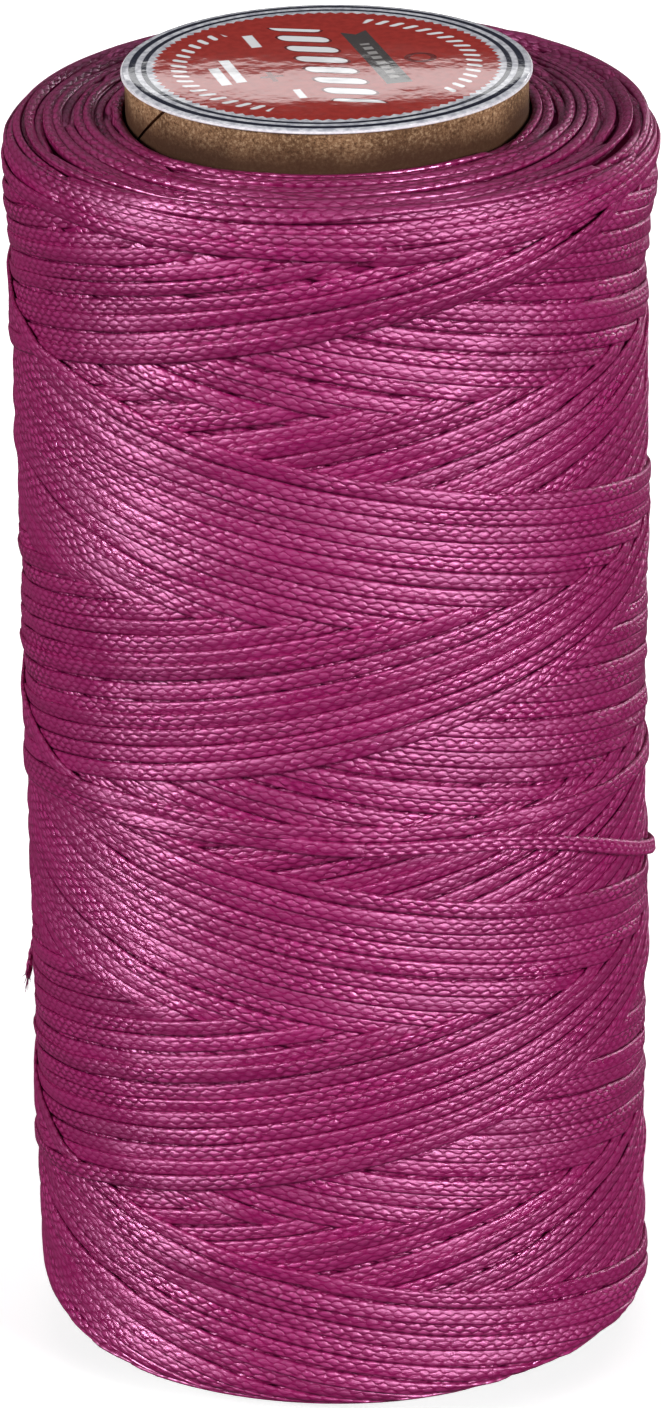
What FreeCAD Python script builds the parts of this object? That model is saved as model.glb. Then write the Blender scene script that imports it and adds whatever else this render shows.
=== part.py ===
import FreeCAD, Part
import math
import os

# Waxed thread spool: a spiral-wound cardboard core, a laminated round label on its top end,
# and one long flat waxed thread cross-wound on it. Its last strand lies loose round the winding.
# Millimetres, +Z up the spool's axis, -Y to the front. The origin is the centre of the
# core's bottom rim, on which the spool stands.

# Driving dimensions
SPOOL_HEIGHT = 110.0
CORE_RADIUS = 16.0
CORE_WALL = 2.0
PLY_COUNT = 5
SEAM_GAP = 0.25          # open butt gap between neighbouring turns of one ply's paper strip
SEAM_PITCH = 80.0        # rise of a seam in one turn round the core
SEAM_TOP_ANGLE = 218.0   # degrees about +Z at which the outer ply's seam meets the top rim
SEAM_STAGGER = 137.0     # degrees from one ply's seam to the next ply's
LABEL_RADIUS = 16.3      # the label overhangs the core a little
LABEL_THICKNESS = 0.3
LABEL_EDGE_ROUND = 0.12
FILM_THICKNESS = 0.05
WINDING_BOTTOM = 3.4     # the core stands out below the winding
WINDING_TOP = 106.0      # and above it
WINDING_RADIUS = 25.5
FLARE_RADIUS = 26.1      # the winding swells a little under its top shoulder
FLARE_START = 96.5       # height at which the swelling starts
SHOULDER_HEIGHT = 3.8    # the top edge is rounded over this height
SHOULDER_WIDTH = 1.6     # and over this width
BOTTOM_ROUND = 2.0
THREAD_WIDTH = 1.25      # the thread is a flat braid
STRAND_ROUTE_RADIUS = 26.6   # distance of the loose strand's corner points from the axis
STRAND_END_FLARE = 0.5       # the cut end springs outwards by this much

# The loose strand's corner points round the spool: degrees from the front, turning to the
# right, and height. It slips out from under the winding, falls steeply over the right side,
# goes round the back and ends, cut off, on the left side.
STRAND_ROUTE = [
    (4.0, 53.6), (20.0, 53.2), (35.0, 52.2), (50.0, 49.8), (65.0, 46.7), (80.5, 43.8),
    (97.0, 41.1), (114.0, 38.6), (131.5, 36.6), (149.0, 35.1), (167.0, 34.0), (185.0, 33.2),
    (203.0, 32.8), (221.0, 32.7), (238.5, 32.6), (254.0, 32.4), (264.0, 31.8), (270.5, 30.5),
]

LABEL_TOP = SPOOL_HEIGHT - FILM_THICKNESS
CORE_LENGTH = LABEL_TOP - LABEL_THICKNESS
PLY_THICKNESS = CORE_WALL / PLY_COUNT
AXIS = FreeCAD.Vector(0, 0, 1)


def ring(inner_radius, outer_radius, bottom, height):
    """A plain round tube about +Z."""
    base = FreeCAD.Vector(0, 0, bottom)
    outside = Part.makeCylinder(outer_radius, height, base)
    return outside.cut(Part.makeCylinder(inner_radius, height, base))


def seam_cutter(inner_radius, outer_radius, top_angle):
    """A thin helical band that opens the butt gap between a paper strip's turns."""
    overrun = 5.0
    start_angle = top_angle - 360 * (CORE_LENGTH + overrun) / SEAM_PITCH
    side_margin = 0.1
    middle_radius = (inner_radius + outer_radius) / 2
    half_depth = (outer_radius - inner_radius) / 2 + side_margin
    helix = Part.makeHelix(SEAM_PITCH, CORE_LENGTH + 2 * overrun, middle_radius)
    lead = math.atan2(SEAM_PITCH, 2 * math.pi * middle_radius)
    gap_height = SEAM_GAP / math.cos(lead)
    corners = [
        FreeCAD.Vector(middle_radius - half_depth, 0, -gap_height / 2),
        FreeCAD.Vector(middle_radius + half_depth, 0, -gap_height / 2),
        FreeCAD.Vector(middle_radius + half_depth, 0, gap_height / 2),
        FreeCAD.Vector(middle_radius - half_depth, 0, gap_height / 2),
    ]
    profile = Part.makePolygon(corners + corners[:1])
    band = Part.Wire(helix.Edges).makePipeShell([profile], True, True)
    band.translate(FreeCAD.Vector(0, 0, -overrun))
    band.rotate(FreeCAD.Vector(0, 0, 0), AXIS, start_angle)
    return band


def core_ply(index):
    """One ply of the core, counted from the bore: a paper strip wound up in a helix."""
    inner_radius = CORE_RADIUS - CORE_WALL + index * PLY_THICKNESS
    outer_radius = inner_radius + PLY_THICKNESS
    plies_from_outside = PLY_COUNT - 1 - index
    top_angle = SEAM_TOP_ANGLE + plies_from_outside * SEAM_STAGGER
    tube = ring(inner_radius, outer_radius, 0, CORE_LENGTH)
    return tube.cut(seam_cutter(inner_radius, outer_radius, top_angle))


def core_plies():
    """The core's plies by name, from the bore outwards."""
    names = ["core_inner_ply"]
    names += [f"core_middle_ply_{number}" for number in range(1, PLY_COUNT - 1)]
    names += ["core_outer_ply"]
    return {name: core_ply(index) for index, name in enumerate(names)}


def label_paper():
    """The printed round label stuck on the core's top rim, with its edge pressed round."""
    base = FreeCAD.Vector(0, 0, CORE_LENGTH)
    disc = Part.makeCylinder(LABEL_RADIUS, LABEL_THICKNESS, base)
    top_edge = [edge for edge in disc.Edges if edge.BoundBox.ZMin > LABEL_TOP - 1e-4]
    return disc.makeFillet(LABEL_EDGE_ROUND, top_edge)


def label_film():
    """The clear gloss film laminated to the label's printed face."""
    radius = LABEL_RADIUS - LABEL_EDGE_ROUND
    return Part.makeCylinder(radius, FILM_THICKNESS, FreeCAD.Vector(0, 0, LABEL_TOP))


def point(radius, height):
    """A point of an outline that is turned about +Z."""
    return FreeCAD.Vector(radius, 0, height)


def quarter_round(start, corner, end):
    """A quarter of an ellipse from start to end, tangent to the sides that meet at corner."""
    centre = start + end - corner
    middle = centre + (start - centre + end - centre) * math.sqrt(0.5)
    if abs((start - centre).Length - (end - centre).Length) < 1e-6:
        return Part.Arc(start, middle, end).toShape()
    long_end, short_end = sorted([start, end], key=lambda tip: -(tip - centre).Length)
    ellipse = Part.Ellipse(long_end, short_end, centre)
    limits = sorted(ellipse.parameter(tip) for tip in (start, end))
    if limits[1] - limits[0] > math.pi:
        limits = [limits[1], limits[0] + 2 * math.pi]
    return Part.ArcOfEllipse(ellipse, *limits).toShape()


def thread_winding():
    """The wound body of the thread, as one closed solid turned about the core."""
    foot = point(WINDING_RADIUS - BOTTOM_ROUND, WINDING_BOTTOM)
    foot_corner = point(WINDING_RADIUS, WINDING_BOTTOM)
    side_start = point(WINDING_RADIUS, WINDING_BOTTOM + BOTTOM_ROUND)
    flare_start = point(WINDING_RADIUS, FLARE_START)
    side_end = point(FLARE_RADIUS, WINDING_TOP - SHOULDER_HEIGHT)
    shoulder_corner = point(FLARE_RADIUS, WINDING_TOP)
    shoulder_end = point(FLARE_RADIUS - SHOULDER_WIDTH, WINDING_TOP)
    top_inner = point(CORE_RADIUS, WINDING_TOP)
    bottom_inner = point(CORE_RADIUS, WINDING_BOTTOM)
    edges = [
        Part.makeLine(bottom_inner, foot),
        quarter_round(foot, foot_corner, side_start),
        Part.makeLine(side_start, flare_start),
        Part.makeLine(flare_start, side_end),
        quarter_round(side_end, shoulder_corner, shoulder_end),
        Part.makeLine(shoulder_end, top_inner),
        Part.makeLine(top_inner, bottom_inner),
    ]
    outline = Part.Wire(Part.__sortEdges__(edges))
    return Part.Face(outline).revolve(FreeCAD.Vector(0, 0, 0), AXIS, 360)


def strand_points():
    """The loose strand's corner points in space; the last one springs away from the winding."""
    points = []
    for index, (angle, height) in enumerate(STRAND_ROUTE):
        radius = STRAND_ROUTE_RADIUS
        if index == len(STRAND_ROUTE) - 1:
            radius += STRAND_END_FLARE
        turn = math.radians(angle)
        points.append(FreeCAD.Vector(radius * math.sin(turn), -radius * math.cos(turn), height))
    return points


def rounded_path(points):
    """Straight runs between the points, joined by tangent arcs as large as the runs allow."""
    run_share = 0.45
    edges = []
    radii = []
    start = points[0]
    for before, corner, after in zip(points, points[1:], points[2:]):
        back = before - corner
        ahead = after - corner
        reach = run_share * min(back.Length, ahead.Length)
        back.normalize()
        ahead.normalize()
        half_turn = (math.pi - back.getAngle(ahead)) / 2
        radius = reach / math.tan(half_turn)
        inward = back + ahead
        inward.normalize()
        centre = corner + inward * (radius / math.cos(half_turn))
        arc_start = corner + back * reach
        arc_end = corner + ahead * reach
        edges.append(Part.LineSegment(start, arc_start).toShape())
        edges.append(Part.Arc(arc_start, centre - inward * radius, arc_end).toShape())
        radii.append(radius)
        start = arc_end
    edges.append(Part.LineSegment(start, points[-1]).toShape())
    return Part.Wire(edges), radii


def loose_strand():
    """The thread's last strand, as a plain tube along its route."""
    points = strand_points()
    path, radii = rounded_path(points)
    section = Part.makeCircle(THREAD_WIDTH / 2, points[0], points[1] - points[0])
    tube = path.makePipeShell([Part.Wire(section)], True, False)
    expected = math.pi * (THREAD_WIDTH / 2) ** 2 * path.Length
    print(f"loose strand: {path.Length:.1f} mm, volume {tube.Volume:.2f} of {expected:.2f} mm3")
    print("bend radii:", ", ".join(f"{radius:.1f}" for radius in radii))
    return tube


def main():
    nodes = core_plies()
    nodes["label_paper"] = label_paper()
    nodes["label_film"] = label_film()
    nodes["thread_winding"] = thread_winding()
    nodes["thread_loose_strand"] = loose_strand()
    os.makedirs("parts", exist_ok=True)
    for name, shape in nodes.items():
        shape.exportStep(f"parts/{name}.step")
        print(f"{name}: {len(shape.Solids)} solid, valid {shape.isValid()}, {shape.Volume:.1f} mm3")


main()
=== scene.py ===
import math
import bpy
import numpy as np
from mathutils import Matrix, Vector


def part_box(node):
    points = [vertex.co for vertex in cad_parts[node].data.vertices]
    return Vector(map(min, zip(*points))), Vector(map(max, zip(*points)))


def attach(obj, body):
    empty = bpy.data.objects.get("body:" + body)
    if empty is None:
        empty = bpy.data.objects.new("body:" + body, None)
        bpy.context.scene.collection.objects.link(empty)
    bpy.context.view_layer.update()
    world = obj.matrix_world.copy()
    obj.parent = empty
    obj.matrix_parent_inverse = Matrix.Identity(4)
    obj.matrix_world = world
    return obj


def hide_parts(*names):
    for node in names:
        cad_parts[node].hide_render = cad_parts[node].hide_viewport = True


# Waxed thread spool. The thread is wound by a small simulation: each pass of the thread is laid
# on the height of what lies under it, so it crosses over the older passes as the real one does.
# Lengths here are in millimetres and become metres when a mesh is made.

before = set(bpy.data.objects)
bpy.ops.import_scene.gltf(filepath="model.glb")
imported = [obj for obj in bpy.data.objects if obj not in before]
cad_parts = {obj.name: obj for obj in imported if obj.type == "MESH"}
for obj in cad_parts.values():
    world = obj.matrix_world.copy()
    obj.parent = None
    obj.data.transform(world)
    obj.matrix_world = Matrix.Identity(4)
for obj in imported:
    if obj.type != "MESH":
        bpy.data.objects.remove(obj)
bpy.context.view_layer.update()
scene = bpy.context.scene
rng = np.random.default_rng(7)
MM = 0.001
TAU = 2 * math.pi

# ---------------------------------------------------------------- sizes from the frame
core_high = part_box("core_outer_ply")[1] / MM
label_low, label_high = (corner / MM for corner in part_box("label_paper"))
film_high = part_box("label_film")[1] / MM
winding_low, winding_high = (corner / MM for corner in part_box("thread_winding"))
CORE_RADIUS = core_high.x
LABEL_RADIUS = label_high.x
TOP_RADIUS = winding_high.x
SIDE_RADIUS = TOP_RADIUS - 0.6       # the winding swells by this much under its top shoulder
FLARE_START = 96.5                   # height at which the swelling starts
TOP_LEAN = 0.35                      # and its top leans that far to the right
TOP_RISE = 0.2                       # the top face rises that much towards the core
SHOULDER_HEIGHT = 3.8                # the top edge is rounded over this height
SHOULDER_WIDTH = 1.6                 # and over this width
BOTTOM_ROUND = 2.0
FILM_THICKNESS = 0.05

# ---------------------------------------------------------------- the thread and its winding
THREAD_WIDTH = 1.38
THREAD_THICKNESS = 0.36
LEAD = 35.0                # climb of the thread in one turn
TOP_APEX = 108.1           # heights where the rising and falling lines would meet, measured along
BOTTOM_APEX = 2.41         # the outline as if the side went straight on over the rounded ends
TOP_TURN = 107.3           # where the thread really turns back, just inside the end faces
BOTTOM_TURN = 3.1
TURN_SOFTNESS = 0.6
NEWEST_CROSSING_HEIGHT = 55.0      # the newest rising and falling passes cross here
NEWEST_CROSSING_ANGLE = math.radians(-56)
BURIED_ROUNDS = 37         # up and down rounds that only build the relief under the visible ones
VISIBLE_ROUNDS = 40
STEP = 0.25                # spacing of the simulated points along the thread
RING_EVERY = 4             # simulated points from one ring of the mesh to the next
PIECES = 20
BRAID_PITCH = 1.25         # length of one plait of the braid
BRAID_WAVE = 0.62          # how far the plaits of one row bulge between those of the next
BRAID_ROWS = 3             # rows of plaits side by side across the thread
END_NARROWING = 0.44       # the thread rolls up by this share where it lies on an end face
END_TURN_SPACING = 0.84    # from one old turn to the next across an end face
END_TURN_COVERS = 2
TOP_TURNS_REACH = 11.6     # the old turns cover the top from the core to that far out
BOTTOM_TURNS_REACH = 8.4
DIVE_DEPTH = 0.9           # how far the ends of the old turns dip under their neighbours
DIVE_LENGTH = 2.6
MOST_TILT = 0.35           # how much one edge of the thread may lie above the other
RELIEF_STEP = 0.24         # height of the relief's cells
RELIEF_COLUMNS = 680       # its cells round the spool
EDGE_SQUARENESS = 2.6      # how square the thread's edges are in the relief
EDGE_HEIGHT = 0.35         # height of the edges as a share of the thickness
SECTION_POINTS = 10        # corners of the section of a thread in the winding
SECTION_FLATNESS = 0.62    # the lower, the flatter the upper and lower sides
STRAND_POINTS = 28         # the same for the loose strand
STRAND_FLATNESS = 0.8
PLAIT_HEIGHT = 0.09        # how far the loose strand's plaits stand out
PLAIT_LEVEL = 0.4          # and from which of their levels up

# The last turn, laid over all the others: degrees from the front turning right, and height. It
# follows the newest rising pass, goes once round nearly level, and slips off as the loose strand.
LAST_TURN = [
    (-88, 51.9), (-56, 54.7), (-40, 55.3), (0, 54.9), (35, 54.0), (88, 51.7), (180, 50.7),
    (272, 51.1), (300, 53.4), (330, 54.1), (352, 53.9), (364.6, 53.6),
]

# The loose strand's corner points: degrees from the front turning right, height, and distance
# from the axis.
STRAND_ROUTE = [
    (4.0, 53.6, 26.1), (20.0, 53.2, 26.2), (35.0, 52.2, 26.3), (50.0, 49.8, 26.3),
    (65.0, 46.7, 26.3), (80.5, 43.8, 26.3), (97.0, 41.1, 26.3), (114.0, 38.6, 26.3),
    (131.5, 36.6, 26.2), (149.0, 35.1, 26.2), (167.0, 34.0, 26.2), (185.0, 33.2, 26.2),
    (203.0, 32.8, 26.2), (221.0, 32.7, 26.2), (238.5, 32.6, 26.1), (253.0, 32.3, 26.0),
    (262.0, 31.7, 26.0), (267.5, 30.4, 26.05),
]
STRAND_WIDTH = 1.25
STRAND_THICKNESS = 0.45

LABEL_LEAN = 15            # degrees by which the print is turned from the front to the right


# ---------------------------------------------------------------- helpers
def smoothed(values, reach):
    """values along a thread, averaged with a bell-shaped window of that many points each way."""
    if reach < 1:
        return values
    window = np.hanning(2 * reach + 3)[1:-1]
    window /= window.sum()
    padded = np.pad(values, reach, mode="edge")
    return np.convolve(padded, window, mode="valid")


def wander(count, spacing, amount):
    """Smooth random drift along a thread, with a new value about every spacing points."""
    knots = rng.normal(0, amount, count // spacing + 4)
    drift = np.interp(np.arange(count), np.arange(len(knots)) * spacing, knots)
    return smoothed(drift, spacing // 2)


class Outline:
    """The winding's outline, from the core at the bottom round the outside to the core at the top.
    A place on it is its distance along the outline."""

    def __init__(self):
        foot, top = winding_low.z, winding_high.z
        round_points, side_points, places, blur = 40, 120, 1200, 8
        quarter = np.linspace(0, math.pi / 2, round_points)
        radii = [np.array([CORE_RADIUS])]
        heights = [np.array([foot])]
        radii.append(SIDE_RADIUS - BOTTOM_ROUND + BOTTOM_ROUND * np.sin(quarter))
        heights.append(foot + BOTTOM_ROUND - BOTTOM_ROUND * np.cos(quarter))
        side = np.linspace(foot + BOTTOM_ROUND + 1, top - SHOULDER_HEIGHT - 1, side_points)
        swell = np.clip((side - FLARE_START) / (side[-1] - FLARE_START), 0, 1)
        radii.append(SIDE_RADIUS + (TOP_RADIUS - SIDE_RADIUS) * swell ** 2 * (3 - 2 * swell))
        heights.append(side)
        radii.append(TOP_RADIUS - SHOULDER_WIDTH + SHOULDER_WIDTH * np.cos(quarter))
        heights.append(top - SHOULDER_HEIGHT + SHOULDER_HEIGHT * np.sin(quarter))
        radii.append(np.array([CORE_RADIUS]))
        heights.append(np.array([top + TOP_RISE]))
        radius = np.concatenate(radii)
        height = np.concatenate(heights)
        along = np.concatenate([[0], np.cumsum(np.hypot(np.diff(radius), np.diff(height)))])
        self.length = along[-1]
        self.place = np.linspace(0, self.length, places)
        self.r = np.interp(self.place, along, radius)
        self.z = np.interp(self.place, along, height)
        out_r = smoothed(np.gradient(self.z), blur)
        out_z = smoothed(-np.gradient(self.r), blur)
        size = np.hypot(out_r, out_z)
        self.out_r = out_r / size
        self.out_z = out_z / size
        self.middle = (foot + top) / 2
        self.middle_place = self.place[np.argmax(self.z > self.middle)]

    def at_height(self, z):
        """The place on the outline at height z, measured on past the rounded ends."""
        return self.middle_place + z - self.middle

    def on_top(self, from_core):
        """The place that far from the core, over the top face and down its rounded edge."""
        return self.length - from_core

    def on_bottom(self, from_core):
        return from_core

    def facing_end(self, place):
        """0 on the side, 1 on an end face."""
        return np.abs(np.interp(place, self.place, self.out_z))

    def radius(self, place):
        return np.interp(place, self.place, self.r)

    def lifted(self, angle, place, lift):
        """Points in space at that angle and place, lift above the outline. Angle 0 is the front."""
        r = self.radius(place) + lift * np.interp(place, self.place, self.out_r)
        r = np.maximum(r, CORE_RADIUS + 0.03)
        z = np.interp(place, self.place, self.z) + lift * np.interp(place, self.place, self.out_z)
        near_top = np.clip((z - FLARE_START) / (winding_high.z - FLARE_START), 0, 1)
        aside = TOP_LEAN * near_top * (r - CORE_RADIUS) / (SIDE_RADIUS - CORE_RADIUS)
        return np.stack([r * np.sin(angle) + aside, -r * np.cos(angle), z], -1)


class Relief:
    """How high the thread already stands above the outline, on a grid of angle and place."""

    def __init__(self, outline):
        self.outline = outline
        self.columns = RELIEF_COLUMNS
        self.rows = int(outline.length / RELIEF_STEP)
        self.height = np.zeros((self.rows, self.columns))

    def cells(self, angle, place):
        column = angle / TAU * self.columns
        row = place / self.outline.length * (self.rows - 1)
        return column, np.clip(row, 0, self.rows - 1.001)

    def sample(self, angle, place):
        column, row = self.cells(angle, place)
        left, low = np.floor(column).astype(int), np.floor(row).astype(int)
        across, up = column - left, row - low
        left, right = left % self.columns, (left + 1) % self.columns
        h = self.height
        lower = h[low, left] * (1 - across) + h[low, right] * across
        upper = h[low + 1, left] * (1 - across) + h[low + 1, right] * across
        return lower * (1 - up) + upper * up

    def raise_to(self, angle, place, top):
        column, row = self.cells(angle, place)
        column = np.rint(column).astype(int) % self.columns
        np.maximum.at(self.height, (np.rint(row).astype(int), column), top)

    def press(self, share):
        """Tension beds the layers into each other, so old relief fades."""
        h = self.height
        around = (np.roll(h, 1, 1) + np.roll(h, -1, 1)) / 2
        upright = (np.vstack([h[:1], h[:-1]]) + np.vstack([h[1:], h[-1:]])) / 2
        self.height = h * (1 - share) + (around + upright) / 2 * share

    def even_ends(self, share):
        """The turns on the end faces slide into each other, so they build no ridge."""
        place = np.linspace(0, self.outline.length, self.rows)
        share = share * self.outline.facing_end(place)[:, None]
        self.height += (self.height.mean(1, keepdims=True) - self.height) * share


class Strand:
    """A laid stretch of thread: where it runs, and how it lies on what is under it."""

    def __init__(self, angle, place, width):
        self.angle, self.place, self.width = angle, place, width
        self.thickness = np.full(len(angle), THREAD_THICKNESS)
        self.base = np.zeros(len(angle))
        self.tilt = np.zeros(len(angle))

    def across(self, outline):
        """The direction across the thread, as turn and distance along the outline."""
        forward = np.gradient(self.angle) * outline.radius(self.place)
        upward = np.gradient(self.place)
        size = np.hypot(forward, upward)
        return -upward / size, forward / size

    def lay(self, relief, stiffness=5, settle=0.2, sink=0.0, riding=0.45):
        """Lets the strand down on the relief, then raises the relief by it. Where sink isn't 0,
        the strand has been pulled that deep between the others. Riding is how far it stays up
        on what stands proud under it, from 0 to 1."""
        outline = relief.outline
        rolled = END_NARROWING * outline.facing_end(self.place)
        self.width = self.width * (1 - rolled)
        self.thickness = self.thickness * (1 + rolled)
        offsets = np.linspace(-0.46, 0.46, 7)      # where across it the thread feels the relief
        for settling in (True, False):
            turn, up = self.across(outline)
            radius = outline.radius(self.place)
            under = np.stack([
                relief.sample(
                    self.angle + turn * offset * self.width / radius,
                    self.place + up * offset * self.width)
                for offset in offsets])
            under = np.stack([smoothed(row, stiffness) for row in under])
            mean = under.mean(0)
            tilt = (under * offsets[:, None]).sum(0) / (offsets ** 2).sum()
            if settling:
                self.place = self.place - settle * smoothed(tilt, 3 * stiffness)
        tilt = MOST_TILT * np.tanh(smoothed(tilt, 2 * stiffness) / MOST_TILT)
        proud = (under - mean - tilt * offsets[:, None]).max(0)
        self.tilt = tilt
        self.base = smoothed(mean + riding * proud, stiffness) - sink
        for offset in np.linspace(-0.5, 0.5, 11):
            rounding = (1 - abs(2 * offset) ** EDGE_SQUARENESS) ** (1 / EDGE_SQUARENESS)
            share = EDGE_HEIGHT + (1 - EDGE_HEIGHT) * rounding
            top = self.base + self.tilt * offset + self.thickness * share
            relief.raise_to(
                self.angle + turn * offset * self.width / radius,
                self.place + up * offset * self.width, top)


def soft_limit(height, limit, sign):
    """height, eased to a limit that it would otherwise pass."""
    room = sign * (limit - height) / TURN_SOFTNESS
    return limit - sign * TURN_SOFTNESS * np.logaddexp(0, room)


class Route:
    """Where the whole simulated thread runs, from its oldest buried round to its newest."""

    def __init__(self, outline):
        rounds = BURIED_ROUNDS + VISIBLE_ROUNDS
        round_angle = 2 * (TOP_APEX - BOTTOM_APEX) / LEAD * TAU
        self.per_pass = int(round(round_angle * SIDE_RADIUS / STEP / 2))
        count = 2 * rounds * self.per_pass
        phase = np.arange(count) / (2 * self.per_pass)
        climbed = (NEWEST_CROSSING_HEIGHT - BOTTOM_APEX) / LEAD
        self.end_angle = NEWEST_CROSSING_ANGLE - climbed * TAU
        self.angle = self.end_angle + (phase - rounds) * round_angle
        swing = 1 - np.abs(1 - 2 * (phase % 1))
        height = BOTTOM_APEX + (TOP_APEX - BOTTOM_APEX) * swing
        top_turns = TOP_TURN + rng.normal(0, 0.5, rounds + 1)
        bottom_turns = BOTTOM_TURN + rng.normal(0, 0.3, rounds + 1)
        height = soft_limit(height, top_turns[phase.astype(int)], 1)
        height = soft_limit(height, bottom_turns[np.rint(phase).astype(int)], -1)
        drift = (wander(count, self.per_pass, 0.15) + wander(count, 320, 0.09)
                 + wander(count, 45, 0.05))
        self.place = outline.at_height(smoothed(height, 12)) + drift
        thinning = wander(count, self.per_pass, 0.06) + wander(count, 70, 0.05)
        self.width = THREAD_WIDTH * (1 + thinning)

    def passes(self):
        """The thread's passes in the order of winding, each from one end to the other."""
        for first in range(0, len(self.angle), self.per_pass):
            piece = slice(first, first + self.per_pass)
            yield Strand(self.angle[piece], self.place[piece], self.width[piece])


def old_turns(relief, place_at, reach):
    """The turns that show on an end face: long shallow arcs, laid from the core outwards. Their
    ends dive under their neighbours."""
    strands = []
    inner, overlap = 0.66, 0.12
    for _ in range(END_TURN_COVERS):
        for distance in np.arange(inner, reach, END_TURN_SPACING):
            ring_radius = relief.outline.radius(place_at(distance))
            turn = rng.uniform(0, TAU)
            end = turn + TAU
            while turn < end:
                span = rng.uniform(1.2, 2.6)
                count = int(span * ring_radius / STEP)
                share = np.linspace(-0.5, 0.5, count)
                bow = rng.uniform(0.1, 1.1) * (4 * share ** 2 - 0.3)
                slope = rng.normal(0.0, 0.5) * share
                from_core = distance + rng.normal(0, 0.12) + bow + slope + wander(count, 30, 0.06)
                from_core = np.clip(from_core, inner, reach + 0.6)
                width = THREAD_WIDTH * (1 + rng.normal(0, 0.03) + wander(count, 40, 0.04))
                to_end = (0.5 - np.abs(share)) * span * ring_radius / DIVE_LENGTH
                near_end = 1 - np.clip(to_end, 0, 1)
                strand = Strand(turn + (share + 0.5) * span, place_at(from_core), width)
                dive = DIVE_DEPTH * near_end ** 2 * (3 - 2 * near_end)
                strand.lay(relief, 7, sink=dive, riding=0.25)
                strands.append(strand)
                relief.even_ends(0.1)
                turn += span - overlap
    return strands


def last_turn(relief, route):
    """The newest rising pass and the nearly level turn at its end."""
    join = math.radians(LAST_TURN[0][0])
    count = int((math.radians(LAST_TURN[-1][0]) - route.end_angle) * SIDE_RADIUS / STEP)
    angle = np.linspace(route.end_angle, math.radians(LAST_TURN[-1][0]), count)
    rising = BOTTOM_APEX + (angle - route.end_angle) / TAU * LEAD
    rising = soft_limit(rising, BOTTOM_TURN, -1)
    turns, heights = np.array(LAST_TURN).T
    level = np.interp(angle, np.radians(turns), heights)
    height = smoothed(np.where(angle < join, rising, level), 30)
    width = THREAD_WIDTH * (1 + wander(count, 70, 0.04))
    strand = Strand(angle, relief.outline.at_height(height) + wander(count, 60, 0.05), width)
    strand.lay(relief, settle=0.05)
    return strand


# ---------------------------------------------------------------- meshes
def add_mesh(name, points, faces, uvs=None, smooth=True):
    """An object from points in millimetres, faces, and a UV for each corner of each face."""
    mesh = bpy.data.meshes.new(name)
    mesh.from_pydata((np.asarray(points) * MM).tolist(), [], faces)
    if uvs is not None:
        layer = mesh.uv_layers.new(name="UVMap")
        layer.data.foreach_set("uv", np.asarray(uvs, np.float32).ravel())
    mesh.polygons.foreach_set("use_smooth", [smooth] * len(mesh.polygons))
    mesh.update()
    piece = bpy.data.objects.new(name, mesh)
    scene.collection.objects.link(piece)
    return piece


def braid_section(corners, flatness):
    """The flat braid's cross-section: places across and up it, both from -0.5 to 0.5."""
    turn = (np.arange(corners) + 0.5) / corners * TAU
    across = 0.5 * np.sign(np.cos(turn)) * np.abs(np.cos(turn)) ** 0.75
    up = 0.5 * np.sign(np.sin(turn)) * np.abs(np.sin(turn)) ** flatness
    return across, up


def ribbon_points(strand, outline):
    """The strand's rings of section points in space."""
    turn, rise = strand.across(outline)
    radius = outline.radius(strand.place)
    across, up = braid_section(SECTION_POINTS, SECTION_FLATNESS)
    rings = []
    for offset, height in zip(across, up):
        lifted = strand.base + strand.tilt * offset + strand.thickness * (0.5 + height)
        rings.append(outline.lifted(
            strand.angle + turn * offset * strand.width / radius,
            strand.place + rise * offset * strand.width, lifted))
    return np.stack(rings, 1)


def faces_between(here, there):
    """The faces between neighbouring rings of points, given by the points' numbers."""
    corners = [here, np.roll(here, -1, 1), np.roll(there, -1, 1), there]
    return np.stack(corners, -1).reshape(-1, 4)


def tube_mesh(name, tubes):
    """Closed tubes, each given as its rings of points, the thread's length at each ring and the
    points' places across the thread. The UVs hold that place and that length."""
    points, faces, uvs = [], [], []
    first = 0
    for rings, along, across in tubes:
        count, corners = rings.shape[:2]
        index = np.arange(count * corners).reshape(count, corners)
        quads = faces_between(index[:-1], index[1:])
        u = np.broadcast_to(across + 0.5, (count, corners))
        v = np.broadcast_to(along[:, None], (count, corners))
        uv = np.stack([u, v], -1).reshape(-1, 2)
        caps = [index[0][::-1], index[-1]]
        points.append(rings.reshape(-1, 3))
        faces += (quads + first).tolist() + [(cap + first).tolist() for cap in caps]
        uvs += [uv[quads.ravel()], uv[caps[0]], uv[caps[1]]]
        first += count * corners
    return add_mesh(name, np.concatenate(points), faces, np.concatenate(uvs))


# ---------------------------------------------------------------- camera, light and stage
def place_camera():
    """The camera looks down on the spool from the front, with a hint of roll."""
    elevation = math.radians(23.14)
    roll = math.radians(-0.826)
    distance = 572.6
    aim = Vector((0, 0, 55.08))
    side_step = -0.417
    back = Vector((0, -math.cos(elevation), math.sin(elevation)))
    level_right = Vector((1, 0, 0))
    level_up = Vector((0, math.sin(elevation), math.cos(elevation)))
    right = level_right * math.cos(roll) + level_up * math.sin(roll)
    up = level_up * math.cos(roll) - level_right * math.sin(roll)
    place = (aim + back * distance + right * side_step) * MM
    data = bpy.data.cameras.new("camera")
    data.sensor_width = 36
    data.lens = 178.34
    data.clip_start = 0.01
    camera = bpy.data.objects.new("camera", data)
    turned_to = Matrix((right, up, back)).transposed().to_4x4()
    camera.matrix_world = Matrix.Translation(place) @ turned_to
    scene.collection.objects.link(camera)
    scene.camera = camera


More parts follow.
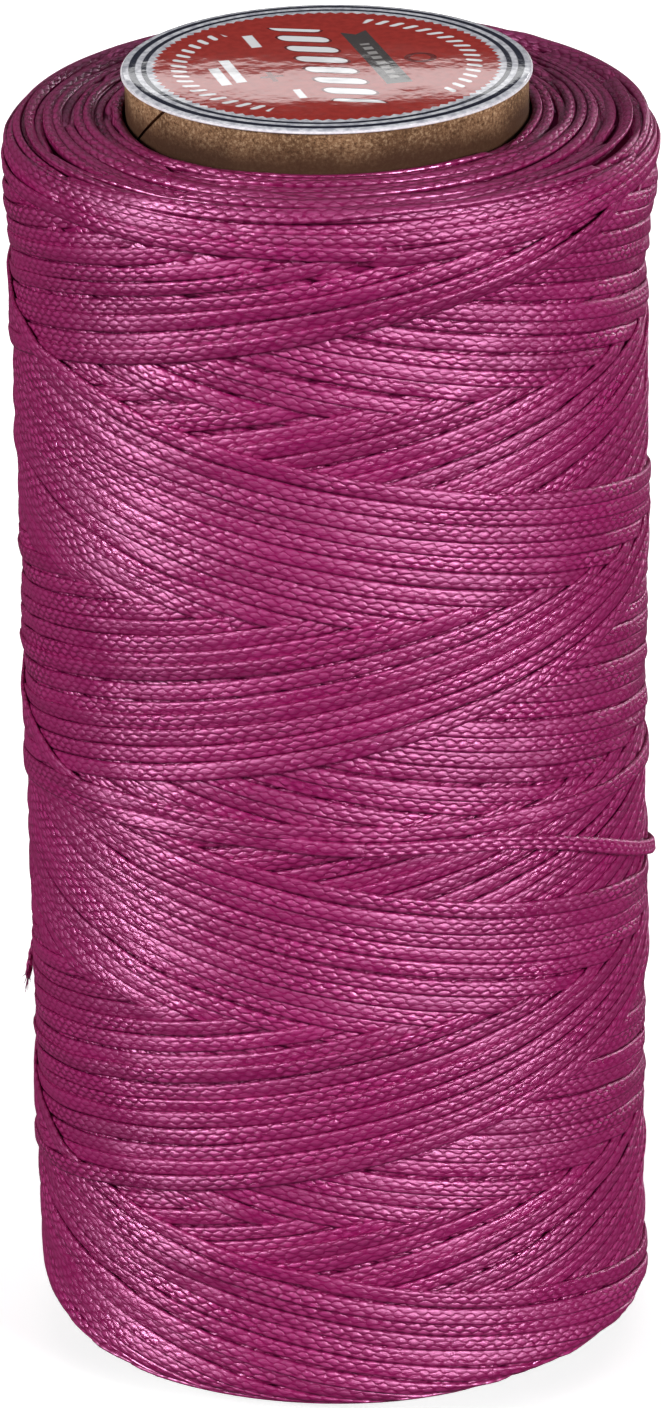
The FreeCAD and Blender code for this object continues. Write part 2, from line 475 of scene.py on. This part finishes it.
def add_softbox(name, azimuth, elevation, spread, power, glints=True):
    """A distant soft light, spread degrees wide. Azimuth 0 is the front, 90 the right. Without
    glints, it doesn't show in reflections."""
    turn, tip = math.radians(azimuth), math.radians(elevation)
    away = Vector((math.sin(turn) * math.cos(tip), -math.cos(turn) * math.cos(tip), math.sin(tip)))
    data = bpy.data.lights.new(name, "SUN")
    data.angle = math.radians(spread)
    data.energy = power
    light = bpy.data.objects.new(name, data)
    light.rotation_euler = away.to_track_quat("Z", "Y").to_euler()
    light.visible_glossy = glints
    scene.collection.objects.link(light)


def add_card():
    """A narrow card light behind the spool, for the reflection across the label's front half."""
    width, height, distance, bottom = 300, 3.8, 100, 142.6
    radiance = 2.1
    data = bpy.data.lights.new("rear_card", "AREA")
    data.shape = "RECTANGLE"
    data.size = width * MM
    data.size_y = height * MM
    data.energy = math.pi * radiance * data.size * data.size_y
    card = bpy.data.objects.new("rear_card", data)
    card.location = (0, distance * MM, (bottom + height / 2) * MM)
    card.rotation_euler = (math.pi / 2, 0, math.pi)
    card.visible_camera = False
    scene.collection.objects.link(card)


def set_stage():
    """A pale floor, a pale world, soft lights from the left, the right and above, and low ones
    from behind that light the sides' edges."""
    floor_size = 3000
    corners = [(x * floor_size, y * floor_size, 0) for x, y in ((-1, -1), (1, -1), (1, 1), (-1, 1))]
    floor = add_mesh("floor", corners, [[0, 1, 2, 3]], smooth=False)
    material = bpy.data.materials.new("pale_floor")
    material.use_nodes = True
    shader = material.node_tree.nodes["Principled BSDF"]
    shader.inputs["Base Color"].default_value = (0.9, 0.9, 0.9, 1)
    shader.inputs["Roughness"].default_value = 0.9
    shader.inputs["Emission Color"].default_value = (1, 1, 1, 1)
    shader.inputs["Emission Strength"].default_value = 0.52
    floor.data.materials.append(material)
    floor.visible_diffuse = False
    floor.visible_glossy = False
    world = bpy.data.worlds.new("world")
    world.use_nodes = True
    background = world.node_tree.nodes["Background"]
    background.inputs["Color"].default_value = (1, 1, 1, 1)
    background.inputs["Strength"].default_value = 0.06
    scene.world = world
    add_softbox("left_softbox", -64, 20, 32, 2.55)
    add_softbox("left_lamp", -64, 22, 5, 0.8)
    add_softbox("right_softbox", 47, 18, 22, 3.35)
    add_softbox("right_lamp", 46, 20, 5, 0.6)
    add_softbox("top_softbox", 160, 70, 40, 0.35)
    add_softbox("left_rim", -140, 3, 16, 1.0, glints=False)
    add_softbox("right_rim", 146, 3, 14, 0.5)
    add_card()
    scene.view_settings.view_transform = "Standard"


# ---------------------------------------------------------------- materials
class Nodes:
    """Short calls to build a material's nodes."""

    def __init__(self, name):
        self.material = bpy.data.materials.new(name)
        self.material.use_nodes = True
        self.tree = self.material.node_tree
        self.shader = self.tree.nodes["Principled BSDF"]

    def add(self, kind, **settings):
        node = self.tree.nodes.new(kind)
        for key, value in settings.items():
            setattr(node, key, value)
        return node

    def link(self, source, target):
        self.tree.links.new(source, target)

    def put(self, value, socket):
        if isinstance(value, (int, float, tuple)):
            socket.default_value = value
        else:
            self.link(value, socket)

    def math(self, operation, *values):
        node = self.add("ShaderNodeMath", operation=operation)
        for value, socket in zip(values, node.inputs):
            self.put(value, socket)
        return node.outputs[0]

    def plus(self, first, second):
        return self.math("ADD", first, second)

    def minus(self, first, second):
        return self.math("SUBTRACT", first, second)

    def times(self, first, second):
        return self.math("MULTIPLY", first, second)

    def mix(self, factor, first, second):
        node = self.add("ShaderNodeMix", data_type="RGBA")
        self.put(factor, node.inputs["Factor"])
        self.put(first, node.inputs["A"])
        self.put(second, node.inputs["B"])
        return node.outputs["Result"]

    def steps(self, value, low, high, bottom=0.0, top=1.0):
        """value eased from bottom to top as it goes from low to high."""
        node = self.add("ShaderNodeMapRange", interpolation_type="SMOOTHSTEP")
        for item, socket in zip((value, low, high, bottom, top), node.inputs):
            self.put(item, socket)
        return node.outputs[0]

    def noise(self, vector, scale, detail=2.0, roughness=0.5):
        node = self.add("ShaderNodeTexNoise")
        self.put(vector, node.inputs["Vector"])
        node.inputs["Scale"].default_value = scale
        node.inputs["Detail"].default_value = detail
        node.inputs["Roughness"].default_value = roughness
        return node.outputs["Fac"]

    def vector(self, x, y, z=0.0):
        node = self.add("ShaderNodeCombineXYZ")
        for item, socket in zip((x, y, z), node.inputs):
            self.put(item, socket)
        return node.outputs[0]

    def scaled(self, x, x_scale, y, y_scale):
        """The place x, y with each of its axes scaled, for a stretched noise."""
        return self.vector(self.times(x, x_scale), self.times(y, y_scale))

    def away(self, value, centre):
        """How far value is from centre, always positive."""
        return self.math("ABSOLUTE", self.minus(value, centre))

    def distance(self, x, y):
        """How far the place x, y is from the origin."""
        squares = self.plus(self.math("POWER", x, 2.0), self.math("POWER", y, 2.0))
        return self.math("SQRT", squares)

    def place(self):
        """The place on the object, in metres."""
        return self.add("ShaderNodeTexCoord").outputs["Object"]

    def split(self, vector):
        """The vector's x, y and z."""
        node = self.add("ShaderNodeSeparateXYZ")
        self.link(vector, node.inputs[0])
        return node.outputs

    def bump(self, height, distance, strength=1.0):
        """Normals of a relief whose height of 1 is distance millimetres."""
        node = self.add("ShaderNodeBump")
        self.put(height, node.inputs["Height"])
        node.inputs["Distance"].default_value = distance * MM
        node.inputs["Strength"].default_value = strength
        return node.outputs["Normal"]


def thread_material():
    """Waxed flat braid: rows of lozenge-shaped plaits locked into each other, pale on their
    crowns from wear and a painted highlight, with painted shade in their grooves, streaked with
    filaments, here and there smoothed over by the wax, and painted darker towards the top face
    as painted shade."""
    n = Nodes("waxed_thread")
    across, along = n.split(n.add("ShaderNodeUVMap", uv_map="UVMap").outputs["UV"])[:2]

    # The plaits, which wobble across the thread and vary in length
    wobble_place = n.vector(3.0, n.times(along, 1.3))
    wobble = n.minus(n.noise(wobble_place, 1.0, 1.0), 0.5)
    shifted = n.plus(across, n.times(wobble, 0.16))
    uneven = n.minus(n.noise(n.scaled(across, 3.0, along, 1.1), 1.0, 1.0), 0.5)
    pitches = n.plus(n.math("DIVIDE", along, BRAID_PITCH), n.times(uneven, 0.7))
    rows = n.minus(n.times(shifted, BRAID_ROWS), 0.5)
    row_wave = n.math("COSINE", n.times(rows, math.pi))
    pitch_wave = n.math("COSINE", n.times(pitches, TAU))
    apart = n.minus(row_wave, n.times(pitch_wave, BRAID_WAVE))
    plait = n.math("DIVIDE", n.math("ABSOLUTE", apart), 1 + BRAID_WAVE)

    fibre = n.noise(n.scaled(shifted, 13.0, along, 1.5), 1.0, 4.0, 0.75)
    patch = n.noise(n.scaled(across, 0.5, along, 0.12), 1.0, 2.0)
    smooth_across = n.plus(n.times(across, 0.3), 9.0)
    smooth_place = n.vector(smooth_across, n.times(along, 0.09))
    open_braid = n.steps(n.noise(smooth_place, 1.0, 2.0), 0.38, 0.62, 0.4, 1.0)

    # The colour, from the body over the grooves' painted shade, the crowns' wear and painted
    # highlight, and filaments to the painted shade on the top face
    deep = (0.15, 0.0024, 0.048, 1)
    dull, bright = (0.197, 0.0042, 0.067, 1), (0.275, 0.0062, 0.096, 1)
    pale = (0.44, 0.036, 0.190, 1)
    painted_shade = (0.105, 0.0035, 0.034, 1)
    slow = n.noise(n.vector(5.0, n.times(along, 0.02)), 1.0, 1.0)
    tone = n.mix(n.steps(slow, 0.3, 0.7), dull, bright)
    # The grooves between the plaits get the deep colour: painted shade.
    tone = n.mix(n.times(n.steps(plait, 0.36, 0.06), open_braid), tone, deep)
    # The plait crowns turn pale: partly wear, partly a painted highlight.
    crown_wear_and_highlight = n.times(n.steps(plait, 0.3, 0.8), n.steps(patch, 0.3, 0.7, 0.25, 1.0))
    tone = n.mix(n.times(crown_wear_and_highlight, open_braid), tone, pale)
    tone = n.mix(n.times(n.steps(fibre, 0.46, 0.66), 0.7), tone, deep)
    # Towards the rim of the top face the thread is painted darker: painted shade.
    rim = winding_high.z * MM
    darkened = n.steps(n.split(n.place())[2], rim - 2.2 * MM, rim - 0.3 * MM, 0.0, 0.36)
    n.link(n.mix(darkened, tone, painted_shade), n.shader.inputs["Base Color"])

    n.link(n.steps(patch, 0.48, 0.68, 0.36, 0.21), n.shader.inputs["Roughness"])
    crown = n.times(n.math("POWER", plait, 0.75), open_braid)
    relief = n.plus(crown, n.times(fibre, 0.5))
    n.link(n.bump(relief, 0.095), n.shader.inputs["Normal"])
    n.shader.inputs["IOR"].default_value = 2.0
    n.link(n.steps(plait, 0.05, 0.4, 0.15, 1.0), n.shader.inputs["Specular IOR Level"])
    n.shader.inputs["Specular Tint"].default_value = (1.0, 0.42, 0.74, 1)
    return n.material


def hidden_thread_material():
    """What shows in the gaps between threads: the layers below, in the thread's colour painted
    darker as painted shade.
    """
    n = Nodes("thread_in_painted_shade")
    # A darker copy of the thread's colour: painted shade.
    tone = n.mix(n.noise(n.place(), 900.0), (0.15, 0.003, 0.053, 1), (0.21, 0.005, 0.075, 1))
    n.link(tone, n.shader.inputs["Base Color"])
    n.shader.inputs["Roughness"].default_value = 0.8
    n.shader.inputs["Specular IOR Level"].default_value = 0.1
    return n.material


def kraft_material():
    """Kraft board: short fibres laid along the strip, specks and a faint mottle, and painted
    darker just above the winding, as painted shade in the recess."""
    n = Nodes("kraft_board")
    place = n.place()
    fleck = n.noise(place, 3400.0, 4.0, 0.8)
    mottle = n.noise(place, 260.0, 3.0)
    dull, bright = (0.165, 0.085, 0.040, 1), (0.245, 0.132, 0.068, 1)
    pale_fibre, dark_fibre = (0.48, 0.32, 0.19, 1), (0.060, 0.027, 0.011, 1)
    painted_shade = (0.038, 0.013, 0.005, 1)
    tone = n.mix(n.steps(mottle, 0.3, 0.7), dull, bright)
    tone = n.mix(n.steps(fleck, 0.52, 0.62, 0, 0.8), tone, pale_fibre)
    tone = n.mix(n.steps(fleck, 0.48, 0.38, 0, 0.9), tone, dark_fibre)
    # Just above the winding the board is painted darker: painted shade in the recess.
    foot = winding_high.z * MM
    uneven = n.times(n.minus(mottle, 0.5), 2.0 * MM)
    height = n.plus(n.split(place)[2], uneven)
    tone = n.mix(n.steps(height, foot + 3.9 * MM, foot + 0.8 * MM, 0.0, 0.96), tone, painted_shade)
    n.link(tone, n.shader.inputs["Base Color"])
    n.shader.inputs["Roughness"].default_value = 0.8
    n.shader.inputs["Specular IOR Level"].default_value = 0.2
    n.link(n.bump(fleck, 0.05, 0.7), n.shader.inputs["Normal"])
    return n.material


def label_coordinates(n):
    """The label's own axes in millimetres, distance from its centre and angle from its axis."""
    x, y = (n.times(item, 1 / MM) for item in n.split(n.place())[:2])
    sine, cosine = math.sin(math.radians(LABEL_LEAN)), math.cos(math.radians(LABEL_LEAN))
    along = n.minus(n.times(x, sine), n.times(y, cosine))
    beside = n.plus(n.times(x, cosine), n.times(y, sine))
    return along, beside, n.distance(x, y), n.math("ARCTAN2", beside, along)


def print_material():
    """The label's print under gloss film: a red disc with a serrated edge, dark rings on silver,
    rows of stitches, blank bars and a banner with plain marks. It carries no lettering."""
    n = Nodes("label_print")
    along, beside, radius, angle = label_coordinates(n)
    soft = 0.05

    def box(centre_along, centre_beside, half_length, half_height):
        out_along = n.minus(n.away(along, centre_along), half_length)
        out_beside = n.minus(n.away(beside, centre_beside), half_height)
        return n.steps(n.math("MAXIMUM", out_along, out_beside), soft, -soft)

    def ring(middle, half_width):
        return n.steps(n.away(radius, middle), half_width + soft, half_width - soft)

    def either(*masks):
        joined = masks[0]
        for mask in masks[1:]:
            joined = n.math("MAXIMUM", joined, mask)
        return joined

    def stitches(place, pitch, half_length, reach, half_width):
        """Rounded bars that repeat every pitch along place and stand across it: the distance to
        their edge, below 0 inside them."""
        cell = n.minus(n.math("FRACT", n.math("DIVIDE", place, pitch)), 0.5)
        aside = n.times(cell, pitch)
        past = n.math("MAXIMUM", n.minus(reach, half_length), 0.0)
        return n.minus(n.distance(aside, past), half_width)

    tooth_count, tooth_height = 98, 0.35
    teeth = n.math("PINGPONG", n.times(angle, tooth_count / TAU), 0.5)
    disc_edge = n.plus(13.5, n.times(teeth, 2 * tooth_height))
    disc = n.steps(n.minus(radius, disc_edge), soft, -soft)

    row_place = n.minus(along, n.times(beside, 0.45))
    row = stitches(row_place, 2.8, 1.15, n.math("ABSOLUTE", beside), 0.72)
    within_row = n.steps(n.math("ABSOLUTE", row_place), 9.85, 9.75)
    row_white = n.times(n.steps(row, soft, -soft), within_row)
    shadow_width = 0.22
    row_shadow = n.times(n.steps(row, shadow_width + soft, shadow_width - soft), within_row)

    arc_radius = 11.7
    arc_place = n.plus(n.times(angle, arc_radius), n.times(radius, 0.35))
    arc = stitches(arc_place, 1.3, 0.38, n.away(radius, arc_radius), 0.26)
    from_middle = n.away(n.math("ABSOLUTE", angle), math.radians(93))
    within_arc = n.steps(from_middle, math.radians(57), math.radians(56))
    arc_white = n.times(n.steps(arc, soft, -soft), within_arc)

    bars = either(
        box(-7.6, -4.1, 1.6, 0.42), box(6.4, -3.9, 1.1, 0.3),
        box(-0.6, -7.5, 2.9, 0.42), box(0.4, -8.8, 2.2, 0.42))
    banner_beside = 4.3
    notch = n.times(n.away(beside, banner_beside), -0.8)
    tail = n.steps(n.minus(n.plus(along, 6.9), notch), -soft, soft)
    banner = n.times(box(-0.8, banner_beside, 6.9, 1.05), tail)
    marks = n.steps(stitches(along, 1.25, 0.4, 0.0, 0.36), soft, -soft)
    banner_marks = n.times(box(0.2, banner_beside, 4.6, 0.38), marks)
    emblem_far = n.distance(n.minus(along, 0.4), n.minus(beside, 7.6))
    emblem_ring = n.steps(n.away(emblem_far, 1.05), 0.3, 0.2)
    emblems = either(emblem_ring, box(1.6, -4.9, 1.3, 0.22), box(1.6, -4.9, 0.22, 0.95))

    white = (0.78, 0.78, 0.80, 1)
    dark = (0.012, 0.014, 0.03, 1)
    shadow_red, emblem_red = (0.09, 0.006, 0.008, 1), (0.07, 0.008, 0.01, 1)
    banner_grey, mark_grey = (0.055, 0.045, 0.045, 1), (0.45, 0.43, 0.42, 1)
    grain = n.noise(n.vector(along, beside), 1.4, 3.0)
    silver = n.mix(n.steps(grain, 0.35, 0.65), (0.36, 0.36, 0.41, 1), (0.64, 0.64, 0.68, 1))
    red = n.mix(n.steps(grain, 0.3, 0.7), (0.29, 0.019, 0.014, 1), (0.36, 0.027, 0.020, 1))
    tone = n.mix(disc, silver, red)
    tone = n.mix(n.times(row_shadow, 0.75), tone, shadow_red)
    tone = n.mix(either(row_white, arc_white, bars), tone, white)
    tone = n.mix(banner, tone, banner_grey)
    tone = n.mix(n.times(banner_marks, 0.6), tone, mark_grey)
    tone = n.mix(n.times(emblems, 0.7), tone, emblem_red)
    tone = n.mix(either(ring(14.45, 0.21), ring(15.4, 0.27)), tone, dark)
    n.link(tone, n.shader.inputs["Base Color"])
    n.shader.inputs["Roughness"].default_value = 0.6
    n.shader.inputs["Specular IOR Level"].default_value = 0.0
    n.shader.inputs["Coat Weight"].default_value = 1.0
    n.shader.inputs["Coat Roughness"].default_value = 0.05
    # The label isn't quite flat, which bends the reflections in its gloss
    wave = n.noise(n.vector(along, beside), 0.16, 4.0, 0.55)
    n.link(n.bump(wave, 0.03), n.shader.inputs["Coat Normal"])
    return n.material


def label_paper_material():
    """The label's uncoated edge: pale lilac-grey paper with fine fibres."""
    n = Nodes("label_paper_edge")
    fibre = n.noise(n.place(), 2600.0, 3.0, 0.6)
    tone = n.mix(n.steps(fibre, 0.3, 0.7), (0.55, 0.52, 0.57, 1), (0.72, 0.69, 0.72, 1))
    n.link(tone, n.shader.inputs["Base Color"])
    n.shader.inputs["Roughness"].default_value = 0.55
    n.link(n.bump(fibre, 0.02, 0.6), n.shader.inputs["Normal"])
    return n.material


# ---------------------------------------------------------------- the pieces
def meet_loose_strand(newest, level):
    """Eases the end of the last turn to where the loose strand starts."""
    start_radius = STRAND_ROUTE[0][2]
    lift = start_radius - SIDE_RADIUS - STRAND_THICKNESS / 2
    count = 32                             # simulated points over which it is eased
    share = np.linspace(0, 1, count)
    share = share ** 2 * (3 - 2 * share)
    newest.base[-count:] += (lift + level - newest.base[-count:]) * share
    newest.tilt[-count:] *= 1 - share
    newest.width[-count:] += (STRAND_WIDTH - newest.width[-count:]) * share
    newest.thickness[-count:] += (STRAND_THICKNESS - newest.thickness[-count:]) * share


def show_threads(name, tubes, material):
    """One piece from closed tubes, each given as its rings and the thread's length at each ring.
    Where the thread is rolled up, part of its width is out of sight."""
    across = braid_section(SECTION_POINTS, SECTION_FLATNESS)[0]
    opposite = SECTION_POINTS // 2 - 1
    full_width = THREAD_WIDTH * (across[0] - across[opposite])
    placed = []
    for rings, along in tubes:
        width = np.linalg.norm(rings[:, 0] - rings[:, opposite], axis=1)
        placed.append((rings, along, across * (width / full_width)[:, None]))
    piece = tube_mesh(name, placed)
    piece.data.materials.append(material)
    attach(piece, "root")
    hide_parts("thread_winding")


def distances(points):
    """How far each point is along the line through all of them."""
    steps = np.linalg.norm(np.diff(points, axis=0), axis=1)
    return np.concatenate([[0], np.cumsum(steps)])


def lengths(rings):
    """The thread's length at each of its rings."""
    return distances(rings.mean(1))


def make_winding(material):
    """The visible thread, cut into consecutive lengths, and the old turns on the end faces."""
    outline = Outline()
    relief = Relief(outline)
    route = Route(outline)
    passes = list(route.passes())
    buried = 2 * BURIED_ROUNDS
    for strand in passes[:buried]:
        strand.lay(relief)
        relief.press(0.05)
        relief.even_ends(0.5)
    for strand in passes[buried:]:
        strand.lay(relief)
        relief.even_ends(0.5)
    top_turns = old_turns(relief, outline.on_top, TOP_TURNS_REACH)
    bottom_turns = old_turns(relief, outline.on_bottom, BOTTOM_TURNS_REACH)
    newest = last_turn(relief, route)
    level_place = np.linspace(0, outline.length, relief.rows)
    level = smoothed(relief.height.mean(1), 6)
    meet_loose_strand(newest, np.interp(newest.place[-1], level_place, level))

    def rings_of(strand):
        strand.base = strand.base - np.interp(strand.place, level_place, level)
        return ribbon_points(strand, outline)

    rings = np.concatenate([rings_of(strand) for strand in passes[buried:] + [newest]])
    rings = rings[(len(rings) - 1) % RING_EVERY::RING_EVERY]
    along = lengths(rings)
    cuts = np.linspace(0, len(rings) - 1, PIECES + 1).astype(int)
    for number, (first, last) in enumerate(zip(cuts, cuts[1:]), 1):
        tube = rings[first:last + 1], along[first:last + 1]
        show_threads(f"thread_length_{number:02d}", [tube], material)
    print(f"visible thread: {along[-1] / 1000:.1f} m in {len(rings)} rings")
    for name, turns in (("thread_top_turns", top_turns), ("thread_bottom_turns", bottom_turns)):
        tubes = [rings_of(strand)[::RING_EVERY] for strand in turns]
        starts = rng.uniform(0, along[-1], len(tubes))
        placed = [(rings, start + lengths(rings)) for rings, start in zip(tubes, starts)]
        show_threads(name, placed, material)
        print(f"{name}: {sum(len(rings) for rings in tubes)} rings")
    return outline


def make_backing(outline):
    """The solid body of older layers behind the visible thread, that deep under the outline."""
    depth = 0.74
    sides = 180
    place = outline.place[::8]
    angles = np.arange(sides) / sides * TAU
    angle_grid, place_grid = np.meshgrid(angles, place)
    grid = outline.lifted(angle_grid, place_grid, -depth)
    rows = len(place)
    index = np.arange(rows * sides).reshape(rows, sides)
    quads = faces_between(index, np.roll(index, -1, 0))
    piece = add_mesh("thread_inner_layers", grid.reshape(-1, 3), quads.tolist())
    piece.data.materials.append(hidden_thread_material())
    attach(piece, "root")
    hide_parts("thread_winding")


def strand_centreline():
    """The loose strand's centreline in space, as points of a smooth curve that rounds the corners
    of its route."""
    curve = bpy.data.curves.new("strand_route", "CURVE")
    curve.dimensions = "3D"
    curve.resolution_u = 24
    spline = curve.splines.new("NURBS")
    spline.points.add(len(STRAND_ROUTE) - 1)
    for point, (angle, height, radius) in zip(spline.points, STRAND_ROUTE):
        turn = math.radians(angle)
        point.co = (radius * math.sin(turn) * MM, -radius * math.cos(turn) * MM, height * MM, 1)
    spline.order_u = 3
    spline.use_endpoint_u = True
    carrier = bpy.data.objects.new("strand_route", curve)
    scene.collection.objects.link(carrier)
    line = bpy.data.meshes.new_from_object(carrier)
    points = np.array([vertex.co for vertex in line.vertices]) / MM
    bpy.data.objects.remove(carrier)
    bpy.data.curves.remove(curve)
    bpy.data.meshes.remove(line)
    return points


def resampled(points, spacing):
    """The line through the points, with new points at that even spacing."""
    along = distances(points)
    places = np.linspace(0, along[-1], int(along[-1] / spacing) + 1)
    return np.stack([np.interp(places, along, points[:, axis]) for axis in range(3)], 1), places


def unit(vectors):
    return vectors / np.linalg.norm(vectors, axis=-1, keepdims=True)


def frayed_fibres(tip, ahead, aside, outward):
    """Tubes for the fine fibres that fan out of the strand's cut end."""
    fibre_radius, spacing, buried = 0.085, 0.12, 0.8
    points, corners = 9, 6
    around = np.arange(corners) / corners * TAU
    circle = aside * np.cos(around)[:, None] + outward * np.sin(around)[:, None]
    share = np.linspace(0, 1, points)[:, None]
    radius = fibre_radius * (1 - 0.75 * share)
    fibres = []
    for number in range(-4, 5):
        start = tip + aside * number * spacing - ahead * buried
        fan = (aside * number * 0.05 + aside * rng.normal(0, 0.1)
               + outward * rng.normal(0.05, 0.12))
        length = rng.uniform(1.2, 2.2)
        line = start + ahead * length * share + fan * length * share ** 2
        fibres.append((line[:, None] + radius[..., None] * circle, np.linspace(0, length, points),
                       np.linspace(-0.5, 0.5, corners)))
    return fibres


def make_loose_strand(material):
    """The last strand, a real flat braid with its plaits modelled, and its frayed cut end."""
    centre, along = resampled(strand_centreline(), 0.11)
    forward = unit(np.gradient(centre, axis=0))
    outward = unit(centre * (1, 1, 0))
    across_way = unit(np.cross(outward, forward))
    outward = np.cross(forward, across_way)
    twist = wander(len(centre), 90, 0.22)[:, None]
    across_way, outward = (across_way * np.cos(twist) + outward * np.sin(twist),
                           outward * np.cos(twist) - across_way * np.sin(twist))
    across, up = braid_section(STRAND_POINTS, STRAND_FLATNESS)
    row_turn = ((across[None] + 0.5) * BRAID_ROWS - 0.5) * math.pi
    pitch_turn = along[:, None] / BRAID_PITCH * TAU
    plait = np.abs(np.cos(row_turn) - BRAID_WAVE * np.cos(pitch_turn)) / (1 + BRAID_WAVE)
    swell = 1 + wander(len(centre), 12, 0.03)[:, None]
    plaited = np.sign(up)[None] * PLAIT_HEIGHT * (plait - PLAIT_LEVEL)
    half_up = up[None] * (STRAND_THICKNESS * swell) + plaited
    wide = across[None] * STRAND_WIDTH * swell
    rings = (centre[:, None] + wide[..., None] * across_way[:, None]
             + half_up[..., None] * outward[:, None])
    piece = tube_mesh("loose_strand", [(rings, along, across)])
    piece.data.materials.append(material)
    fibres = frayed_fibres(centre[-1], forward[-1], across_way[-1], outward[-1])
    fray = tube_mesh("strand_cut_end", fibres)
    fray.data.materials.append(material)
    for part in (piece, fray):
        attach(part, "root")
        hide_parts("thread_loose_strand")


def dress_core():
    """The core's plies keep their shape and get the look of kraft board."""
    material = kraft_material()
    for name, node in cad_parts.items():
        if name.startswith("core_"):
            node.data.materials.clear()
            node.data.materials.append(material)


def turned(name, profile):
    """A closed solid turned about the axis, from (radius, height) corners that start and end
    on the axis."""
    sides = 160
    ring_points = []
    angles = np.arange(sides) / sides * TAU
    for radius, height in profile[1:-1]:
        ring_points.append(np.stack([radius * np.cos(angles), radius * np.sin(angles),
                                     np.full(sides, height)], -1))
    foot, head = (0, 0, profile[0][1]), (0, 0, profile[-1][1])
    points = [foot] + np.concatenate(ring_points).tolist() + [head]
    index = 1 + np.arange(len(ring_points) * sides).reshape(-1, sides)
    quads = faces_between(index[:-1], index[1:])
    last = len(points) - 1
    bottom = [[0, int(b), int(a)] for a, b in zip(index[0], np.roll(index[0], -1))]
    top = [[last, int(a), int(b)] for a, b in zip(index[-1], np.roll(index[-1], -1))]
    return add_mesh(name, points, quads.tolist() + bottom + top)


def make_label():
    """The paper disc with its edge pressed down over the core, and the printed film on it."""
    bottom, top = label_low.z, film_high.z
    paper_top = top - FILM_THICKNESS
    edge = LABEL_RADIUS
    paper = turned("label_disc", [
        (0, bottom), (12.0, bottom), (edge - 0.04, bottom), (edge, bottom + 0.04),
        (edge, paper_top - 0.19), (edge - 0.03, paper_top - 0.15),
        (edge - 0.12, paper_top - 0.11), (edge - 0.5, paper_top - 0.07),
        (edge - 1.2, paper_top - 0.05), (12.0, paper_top - 0.02),
        (8.0, paper_top - 0.002), (0, paper_top - 0.002)])
    paper.data.materials.append(label_paper_material())
    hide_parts("label_paper")
    film = turned("label_gloss_film", [
        (0, paper_top), (8.0, paper_top), (12.0, paper_top - 0.018),
        (edge - 1.2, paper_top - 0.048), (edge - 0.5, paper_top - 0.068),
        (edge - 0.16, paper_top - 0.1), (edge - 0.14, paper_top - 0.07),
        (edge - 0.2, paper_top - 0.05), (edge - 0.5, top - 0.07), (edge - 0.85, top - 0.052),
        (edge - 1.2, top - 0.045), (14.0, top - 0.035), (12.0, top - 0.016), (10.0, top - 0.005),
        (8.0, top), (4.0, top), (0, top)])
    film.data.materials.append(print_material())
    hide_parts("label_film")
    for piece in (paper, film):
        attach(piece, "root")


place_camera()
set_stage()
thread = thread_material()
make_loose_strand(thread)
outline = make_winding(thread)
make_backing(outline)
dress_core()
make_label()
